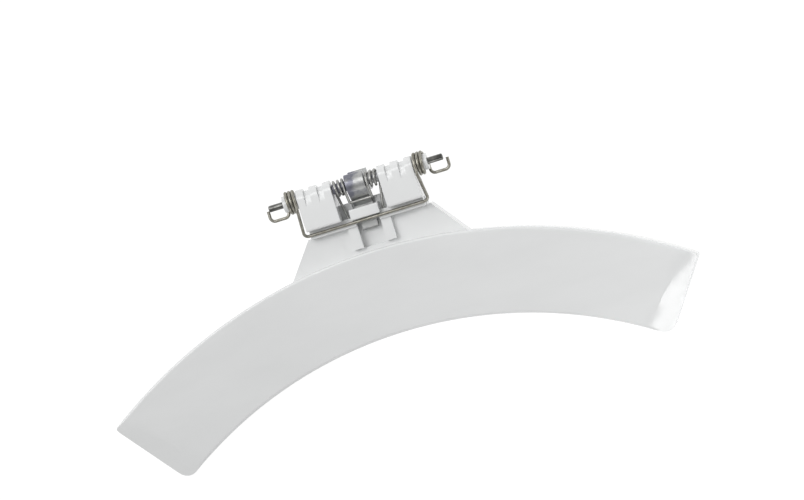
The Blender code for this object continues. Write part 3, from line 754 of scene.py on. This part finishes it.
def rounded_copy(node, name, width, material, prepare=None):
    """A copy of a CAD solid with joined faces and a small rounding on its sharp edges.

    The function prepare, if there is one, works on the joined faces before the rounding.
    """
    work = bmesh.new()
    work.from_mesh(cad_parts[node].data)
    bmesh.ops.remove_doubles(work, verts=work.verts, dist=WELD_DISTANCE)
    bmesh.ops.dissolve_limit(work, angle_limit=FLAT_ANGLE, verts=work.verts, edges=work.edges)
    if prepare:
        prepare(work)
    mesh = bpy.data.meshes.new(name)
    work.to_mesh(mesh)
    work.free()
    shade(mesh, SHARP_ANGLE)
    source = bpy.data.objects.new(f"{name}_source", mesh)
    bpy.context.scene.collection.objects.link(source)
    bevel = source.modifiers.new("Edge rounding", "BEVEL")
    bevel.width = width
    bevel.segments = ROUNDING_SEGMENTS
    bevel.limit_method = "ANGLE"
    bevel.angle_limit = ROUNDED_ANGLE
    bevel.use_clamp_overlap = True
    # The large flat faces keep their own shading, and the roundings take up the turn.
    source.modifiers.new("Flat faces", "WEIGHTED_NORMAL").keep_sharp = True
    finished = evaluated_mesh(source)
    bpy.data.objects.remove(source)
    bpy.data.meshes.remove(mesh)
    return link_piece(name, finished, material)


def round_corner(before, corner, after, radius):
    """Points on an arc that rounds one corner of a wire's path."""
    corner = Vector(corner)
    to_before = Vector(before) - corner
    to_after = Vector(after) - corner
    turn = to_before.angle(to_after)
    cut = min(radius / math.tan(turn / 2), to_before.length / 2, to_after.length / 2)
    bisector = (to_before.normalized() + to_after.normalized()).normalized()
    centre = corner + bisector * (cut / math.cos(turn / 2))
    start_arm = corner + to_before.normalized() * cut - centre
    end_arm = corner + to_after.normalized() * cut - centre
    swing = math.pi - turn
    points = []
    for step in range(CORNER_STEPS + 1):
        share = step / CORNER_STEPS
        weight_start = math.sin((1 - share) * swing) / math.sin(swing)
        weight_end = math.sin(share * swing) / math.sin(swing)
        points.append(tuple(centre + start_arm * weight_start + end_arm * weight_end))
    return points


def rounded_path(corners, radius):
    """An open wire path through corners in space, each inner corner rounded."""
    points = [corners[0]]
    for before, corner, after in zip(corners, corners[1:], corners[2:]):
        points.extend(round_corner(before, corner, after, radius))
    points.append(corners[-1])
    return points


def coil_points(radius, start_x, pitch, drift=0.0):
    """A coil round the pin that starts at its front and runs backwards over the top."""
    steps = round(TURNS * STEPS_PER_TURN)
    points = []
    for step in range(steps + 1):
        turn = TURNS * step / steps
        angle = math.pi / 2 - 2 * math.pi * turn
        late = max(0.0, turn - (TURNS - DRIFT_TURN)) / DRIFT_TURN
        x = start_x + pitch * turn + drift * late**2
        points.append((x, radius * math.cos(angle), radius * math.sin(angle)))
    return points


def return_spring_path(settings):
    """The return spring's wire from the middle of its U bar to the hook on the +X side."""
    radius = settings.radius
    start_x = RETURN_COIL_START
    coil = coil_points(radius, start_x, settings.pitch, RETURN_DRIFT)
    arm = rounded_path(
        [
            (0.0, U_BAR_Y, U_BAR_Z),
            (start_x + U_BAR_SPREAD, U_BAR_Y, U_BAR_Z),
            (start_x, -radius * RETURN_ARM_BEND, radius),
            (start_x, 0.0, radius),
        ],
        U_BAR_CORNER,
    )
    end_x, _, end_z = coil[-1]
    far_x = end_x + SPRING_HOOK_REACH
    hook = rounded_path(
        [
            (end_x, 0.0, end_z),
            (end_x, SPRING_HOOK_Y, end_z),
            (far_x, SPRING_HOOK_Y, end_z),
            (far_x, SPRING_HOOK_TIP_Y, end_z),
        ],
        SPRING_HOOK_CORNER,
    )
    return arm[:-1] + coil + hook[1:]


def latch_spring_path(settings):
    """The latch spring's wire from the middle of the lever to its leg on the +X side."""
    radius = settings.radius
    start_x = LATCH_COIL_START
    end_x = LATCH_COIL_END
    coil = coil_points(radius, start_x, (end_x - start_x) / TURNS)
    arm = rounded_path(
        [
            (0.0, LEVER_BRIDGE_Y, LEVER_BRIDGE_Z),
            (start_x, LEVER_BRIDGE_Y, LEVER_BRIDGE_Z),
            (start_x, -radius * LATCH_ARM_BEND, radius),
            (start_x, 0.0, radius),
        ],
        LATCH_WIRE_CORNER,
    )
    leg_x = end_x - LATCH_LEG_INSET
    leg = rounded_path(
        [
            (end_x, 0.0, LATCH_LEG_Z),
            (end_x, -radius * LATCH_LEG_BEND, LATCH_LEG_Z),
            (leg_x, LATCH_LEG_Y, LATCH_LEG_Z),
            (leg_x, LATCH_LEG_TIP_Y, LATCH_LEG_Z),
        ],
        LATCH_WIRE_CORNER,
    )
    return arm[:-1] + coil + leg[1:]


def tube_tree():
    """Geometry nodes that draw a round wire along a path, with its place along and round it."""
    tree = bpy.data.node_groups.new("Round wire", "GeometryNodeTree")
    face = tree.interface
    face.new_socket("Path", in_out="INPUT", socket_type="NodeSocketGeometry")
    face.new_socket("Diameter", in_out="INPUT", socket_type="NodeSocketFloat")
    face.new_socket("Sides", in_out="INPUT", socket_type="NodeSocketInt")
    face.new_socket("Material", in_out="INPUT", socket_type="NodeSocketMaterial")
    face.new_socket("Wire", in_out="OUTPUT", socket_type="NodeSocketGeometry")
    source = add_node(tree, "NodeGroupInput")
    target = add_node(tree, "NodeGroupOutput")
    half = add_node(
        tree, "ShaderNodeMath", {0: source.outputs["Diameter"], 1: 0.5}, operation="MULTIPLY"
    )
    along = add_node(tree, "GeometryNodeSplineParameter")
    path = add_node(
        tree,
        "GeometryNodeStoreNamedAttribute",
        {"Geometry": source.outputs["Path"], "Name": "wire_along", "Value": along.outputs["Length"]},
        data_type="FLOAT",
        domain="POINT",
    )
    circle = add_node(
        tree,
        "GeometryNodeCurvePrimitiveCircle",
        {"Resolution": source.outputs["Sides"], "Radius": half.outputs[0]},
    )
    round_it = add_node(tree, "GeometryNodeSplineParameter")
    profile = add_node(
        tree,
        "GeometryNodeStoreNamedAttribute",
        {
            "Geometry": circle.outputs["Curve"],
            "Name": "wire_round",
            "Value": round_it.outputs["Factor"],
        },
        data_type="FLOAT",
        domain="POINT",
    )
    tube = add_node(
        tree,
        "GeometryNodeCurveToMesh",
        {"Curve": path.outputs[0], "Profile Curve": profile.outputs[0], "Fill Caps": True},
    )
    plain = add_node(tree, "GeometryNodeRealizeInstances", {"Geometry": tube.outputs["Mesh"]})
    dressed = add_node(
        tree,
        "GeometryNodeSetMaterial",
        {"Geometry": plain.outputs["Geometry"], "Material": source.outputs["Material"]},
    )
    tree.links.new(dressed.outputs["Geometry"], target.inputs["Wire"])
    return tree


def round_wire(name, points, diameter, material):
    """A wire piece along a path, made by the wire tree and kept as a plain mesh."""
    curve = bpy.data.curves.new(f"{name}_path", "CURVE")
    curve.dimensions = "3D"
    spline = curve.splines.new("POLY")
    spline.points.add(len(points) - 1)
    for point, place in zip(spline.points, points):
        point.co = (*place, 1.0)
    path = bpy.data.objects.new(f"{name}_path", curve)
    bpy.context.scene.collection.objects.link(path)
    tree = bpy.data.node_groups.get("Round wire") or tube_tree()
    modifier = path.modifiers.new("Round wire", "NODES")
    modifier.node_group = tree
    sockets = {item.name: item.identifier for item in tree.interface.items_tree}
    modifier[sockets["Diameter"]] = diameter
    modifier[sockets["Sides"]] = WIRE_SIDES
    modifier[sockets["Material"]] = material
    mesh = evaluated_mesh(path)
    bpy.data.objects.remove(path)
    bpy.data.curves.remove(curve)
    shade(mesh, WIRE_SHARP_ANGLE)
    return link_piece(name, mesh, material)


def mirrored(points):
    """The same path on the -X side."""
    return [(-x, y, z) for x, y, z in points]


def outward(piece):
    """Turns the faces of a closed piece outwards."""
    work = bmesh.new()
    work.from_mesh(piece.data)
    bmesh.ops.recalc_face_normals(work, faces=work.faces)
    work.to_mesh(piece.data)
    work.free()
    return piece


def turned_pin(name, length, radius, chamfer, material):
    """A round pin turned about the X axis, with chamfered and slightly softened ends."""
    # Both corners of a chamfer are cut back a little, over a quarter of its width.
    soft = chamfer / 4
    half = length / 2
    profile = [(-half, 0.0), (-half, radius - chamfer - soft)]
    profile += [(-half + soft / 3, radius - chamfer), (-half + chamfer, radius - soft / 3)]
    profile += [(-half + chamfer + soft, radius)]
    profile += [(-x, r) for x, r in reversed(profile)]
    work = bmesh.new()
    verts = [work.verts.new((x, 0.0, r)) for x, r in profile]
    edges = [work.edges.new(pair) for pair in zip(verts, verts[1:])]
    bmesh.ops.spin(
        work,
        geom=verts + edges,
        cent=(0, 0, 0),
        axis=(1, 0, 0),
        angle=2 * math.pi,
        steps=PIN_SIDES,
    )
    bmesh.ops.remove_doubles(work, verts=work.verts, dist=PIN_WELD_DISTANCE)
    bmesh.ops.recalc_face_normals(work, faces=work.faces)
    mesh = bpy.data.meshes.new(name)
    work.to_mesh(mesh)
    work.free()
    shade(mesh, PIN_SHARP_ANGLE)
    return link_piece(name, mesh, material)


# Operators, one for each piece

class DOORHANDLE_OT_moulding(bpy.types.Operator):
    """Make the white moulding with its grip, neck and hinge blocks"""

    bl_idname = "doorhandle.moulding"
    bl_label = "Handle moulding"

    def execute(self, context):
        settings = context.scene.handle_moulding
        material = white_moulded_abs(settings)
        piece = rounded_copy(
            "handle",
            "handle_moulding",
            settings.edge,
            material,
            prepare=lambda work: ease_end_facets(work, settings.softness),
        )
        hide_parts("handle")
        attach(piece, "handle")
        return {"FINISHED"}


class DOORHANDLE_OT_pin(bpy.types.Operator):
    """Make the steel hinge pin"""

    bl_idname = "doorhandle.pin"
    bl_label = "Hinge pin"

    def execute(self, context):
        settings = context.scene.handle_pin
        length = PIN_HIGH.x - PIN_LOW.x
        material = ground_steel(settings)
        radius = settings.diameter / 2
        piece = turned_pin("steel_hinge_pin", length, radius, settings.chamfer, material)
        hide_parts("hinge_pin")
        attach(piece, "pin")
        return {"FINISHED"}


class DOORHANDLE_OT_return_spring(bpy.types.Operator):
    """Make both halves of the double return spring"""

    bl_idname = "doorhandle.return_spring"
    bl_label = "Return spring"

    def execute(self, context):
        settings = context.scene.handle_return_spring
        material = drawn_wire(
            "spring_steel_drawn_and_oiled", settings.colour, settings.oil_colour, RETURN_OIL
        )
        path = return_spring_path(settings)
        for side, name in ((-1, "return_spring_left"), (1, "return_spring_right")):
            points = path if side > 0 else mirrored(path)
            piece = outward(round_wire(name, points, settings.wire, material))
            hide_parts("return_spring")
            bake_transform(piece)
        return {"FINISHED"}


class DOORHANDLE_OT_latch_hook(bpy.types.Operator):
    """Make the cast latch hook"""

    bl_idname = "doorhandle.latch_hook"
    bl_label = "Latch hook"

    def execute(self, context):
        settings = context.scene.handle_latch_hook
        material = cast_zinc(settings)
        piece = rounded_copy("latch_hook", "cast_latch_hook", settings.edge, material)
        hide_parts("latch_hook")
        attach(piece, "latch")
        return {"FINISHED"}


class DOORHANDLE_OT_latch_spring(bpy.types.Operator):
    """Make both halves of the small latch spring"""

    bl_idname = "doorhandle.latch_spring"
    bl_label = "Latch spring"

    def execute(self, context):
        settings = context.scene.handle_latch_spring
        dark = tuple(SMALL_OIL_SHADE * channel for channel in settings.colour)
        material = drawn_wire("small_spring_steel_drawn", settings.colour, dark, LATCH_OIL)
        path = latch_spring_path(settings)
        for side, name in ((-1, "latch_spring_left"), (1, "latch_spring_right")):
            points = path if side > 0 else mirrored(path)
            piece = outward(round_wire(name, points, settings.wire, material))
            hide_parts("latch_spring")
            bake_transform(piece)
        return {"FINISHED"}


def pale_floor(settings):
    """Matt painted board, which the camera and reflections see as near white."""
    material, tree, output = new_material("matt_white_board_painted")
    place = add_node(tree, "ShaderNodeTexCoord").outputs["Object"]
    # The paint's tone drifts over some 30 mm.
    grain = add_node(tree, "ShaderNodeTexNoise", {"Vector": place, "Scale": 30.0}).outputs["Fac"]
    share = add_node(
        tree, "ShaderNodeMapRange", {"Value": grain, "From Min": 0.3, "From Max": 0.7}
    ).outputs["Result"]
    light, dark = (
        with_alpha(tuple(shade_share * channel for channel in settings.floor_colour))
        for shade_share in FLOOR_SHADES
    )
    colour = add_node(
        tree,
        "ShaderNodeMix",
        {MIX_SHARE: share, MIX_FIRST: light, MIX_SECOND: dark},
        data_type="RGBA",
    ).outputs[MIX_RESULT]
    matt = add_node(tree, "ShaderNodeBsdfDiffuse", {"Color": colour})
    rays = add_node(tree, "ShaderNodeLightPath")
    seen = add_node(
        tree,
        "ShaderNodeMath",
        {0: rays.outputs["Is Camera Ray"], 1: rays.outputs["Is Glossy Ray"]},
        operation="ADD",
    )
    seen = add_node(
        tree,
        "ShaderNodeMath",
        {0: seen.outputs[0], 1: rays.outputs["Is Transmission Ray"]},
        operation="ADD",
        use_clamp=True,
    )
    strength = add_node(
        tree,
        "ShaderNodeMapRange",
        {"Value": seen.outputs[0], "To Min": FLOOR_GLOW[0], "To Max": FLOOR_GLOW[1]},
    ).outputs["Result"]
    glow = add_node(
        tree, "ShaderNodeEmission", {"Color": (1.0, 1.0, 1.0, 1.0), "Strength": strength}
    )
    both = add_node(
        tree, "ShaderNodeAddShader", {0: matt.outputs["BSDF"], 1: glow.outputs["Emission"]}
    )
    tree.links.new(both.outputs["Shader"], output.inputs["Surface"])
    return material


def white_world(settings):
    """Even light from all sides; the camera sees plain white.

    Reflections see white round the horizon, and the dimmer light of the studio overhead.
    """
    world = bpy.data.worlds.new("studio_white")
    bpy.context.scene.world = world
    world.use_nodes = True
    tree = world.node_tree
    tree.nodes.clear()
    rays = add_node(tree, "ShaderNodeLightPath")
    ray = add_node(tree, "ShaderNodeTexCoord").outputs["Generated"]
    rise = add_node(tree, "ShaderNodeSeparateXYZ", {"Vector": ray}).outputs["Z"]
    horizon = add_node(
        tree,
        "ShaderNodeMapRange",
        {
            "Value": rise,
            "From Min": HORIZON[0],
            "From Max": HORIZON[1],
            "To Min": 1.0,
            "To Max": 0.0,
        },
    ).outputs["Result"]
    mirrored_white = add_node(
        tree,
        "ShaderNodeMath",
        {0: rays.outputs["Is Glossy Ray"], 1: horizon},
        operation="MULTIPLY",
    )
    seen = add_node(
        tree,
        "ShaderNodeMath",
        {0: rays.outputs["Is Camera Ray"], 1: rays.outputs["Is Transmission Ray"]},
        operation="ADD",
    )
    seen = add_node(
        tree,
        "ShaderNodeMath",
        {0: seen.outputs[0], 1: mirrored_white.outputs[0]},
        operation="ADD",
        use_clamp=True,
    )
    strength = add_node(
        tree, "ShaderNodeMapRange", {"Value": seen.outputs[0], "To Min": settings.sky}
    ).outputs["Result"]
    light = add_node(
        tree, "ShaderNodeBackground", {"Color": (1.0, 1.0, 1.0, 1.0), "Strength": strength}
    )
    output = add_node(tree, "ShaderNodeOutputWorld")
    tree.links.new(light.outputs["Background"], output.inputs["Surface"])


def add_lamp(name, place, aim, size, power):
    """A square soft lamp at a place, turned to a point."""
    light = bpy.data.lights.new(name, "AREA")
    light.shape = "SQUARE"
    light.size = size
    light.energy = power
    lamp = bpy.data.objects.new(name, light)
    lamp.location = place
    lamp.rotation_euler = (Vector(aim) - Vector(place)).to_track_quat("-Z", "Y").to_euler()
    bpy.context.scene.collection.objects.link(lamp)


class DOORHANDLE_OT_studio(bpy.types.Operator):
    """Make the floor, the lights and the camera"""

    bl_idname = "doorhandle.studio"
    bl_label = "Studio"

    def execute(self, context):
        settings = context.scene.handle_studio
        scene = context.scene
        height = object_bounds()[0].z - FLOOR_GAP
        work = bmesh.new()
        bmesh.ops.create_grid(work, x_segments=4, y_segments=4, size=FLOOR_REACH)
        mesh = bpy.data.meshes.new("studio_floor")
        work.to_mesh(mesh)
        work.free()
        mesh.transform(Matrix.Translation((0, FLOOR_Y, height)))
        link_piece("studio_floor", mesh, pale_floor(settings))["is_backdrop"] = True
        white_world(settings)
        add_lamp("key_lamp", *KEY_LAMP, settings.key)
        add_lamp("front_lamp", *FRONT_LAMP, settings.front)
        add_lamp("side_lamp", *SIDE_LAMP, settings.side)
        camera_data = bpy.data.cameras.new("photo_camera")
        camera_data.lens = settings.lens
        camera_data.sensor_width = SENSOR_WIDTH
        camera_data.clip_start = 0.05
        camera_data.clip_end = 20.0
        camera = bpy.data.objects.new("photo_camera", camera_data)
        turn = Matrix.Rotation(settings.swing, 4, "Y")
        turn = turn @ Matrix.Rotation(-settings.tip, 4, "X")
        turn = turn @ Matrix.Rotation(-settings.roll, 4, "Z")
        aim = Matrix.Translation((CAMERA_SHIFT_X, CAMERA_SHIFT_Y, settings.distance))
        camera.matrix_world = turn @ aim
        scene.collection.objects.link(camera)
        scene.camera = camera
        scene.view_settings.view_transform = "Standard"
        return {"FINISHED"}


class DOORHANDLE_PT_panel(bpy.types.Panel):
    """The pieces of the door handle and their settings"""

    bl_idname = "DOORHANDLE_PT_panel"
    bl_label = "Door handle"
    bl_space_type = "VIEW_3D"
    bl_region_type = "UI"
    bl_category = "Door handle"

    def draw(self, context):
        for operator, name, _ in STEPS:
            box = self.layout.box()
            box.operator(operator.bl_idname)
            settings = getattr(context.scene, name)
            for setting in settings.bl_rna.properties.keys():
                if setting not in ("rna_type", "name"):
                    box.prop(settings, setting)


# Each operator, the scene's property that holds its settings, and their class
STEPS = (
    (DOORHANDLE_OT_moulding, "handle_moulding", MouldingSettings),
    (DOORHANDLE_OT_pin, "handle_pin", PinSettings),
    (DOORHANDLE_OT_return_spring, "handle_return_spring", ReturnSpringSettings),
    (DOORHANDLE_OT_latch_hook, "handle_latch_hook", LatchHookSettings),
    (DOORHANDLE_OT_latch_spring, "handle_latch_spring", LatchSpringSettings),
    (DOORHANDLE_OT_studio, "handle_studio", StudioSettings),
)


def register():
    """Registers the settings, the operators and the panel."""
    for operator, name, group in STEPS:
        bpy.utils.register_class(group)
        setattr(bpy.types.Scene, name, bpy.props.PointerProperty(type=group))
        bpy.utils.register_class(operator)
    bpy.utils.register_class(DOORHANDLE_PT_panel)


def unregister():
    """Takes out all that register put in."""
    bpy.utils.unregister_class(DOORHANDLE_PT_panel)
    for operator, name, group in reversed(STEPS):
        bpy.utils.unregister_class(operator)
        delattr(bpy.types.Scene, name)
        bpy.utils.unregister_class(group)


def main():
    """Makes all pieces and the studio."""
    register()
    bpy.ops.doorhandle.moulding()
    bpy.ops.doorhandle.pin()
    bpy.ops.doorhandle.return_spring()
    bpy.ops.doorhandle.latch_hook()
    bpy.ops.doorhandle.latch_spring()
    bpy.ops.doorhandle.studio()


if __name__ == "__main__":
    main()
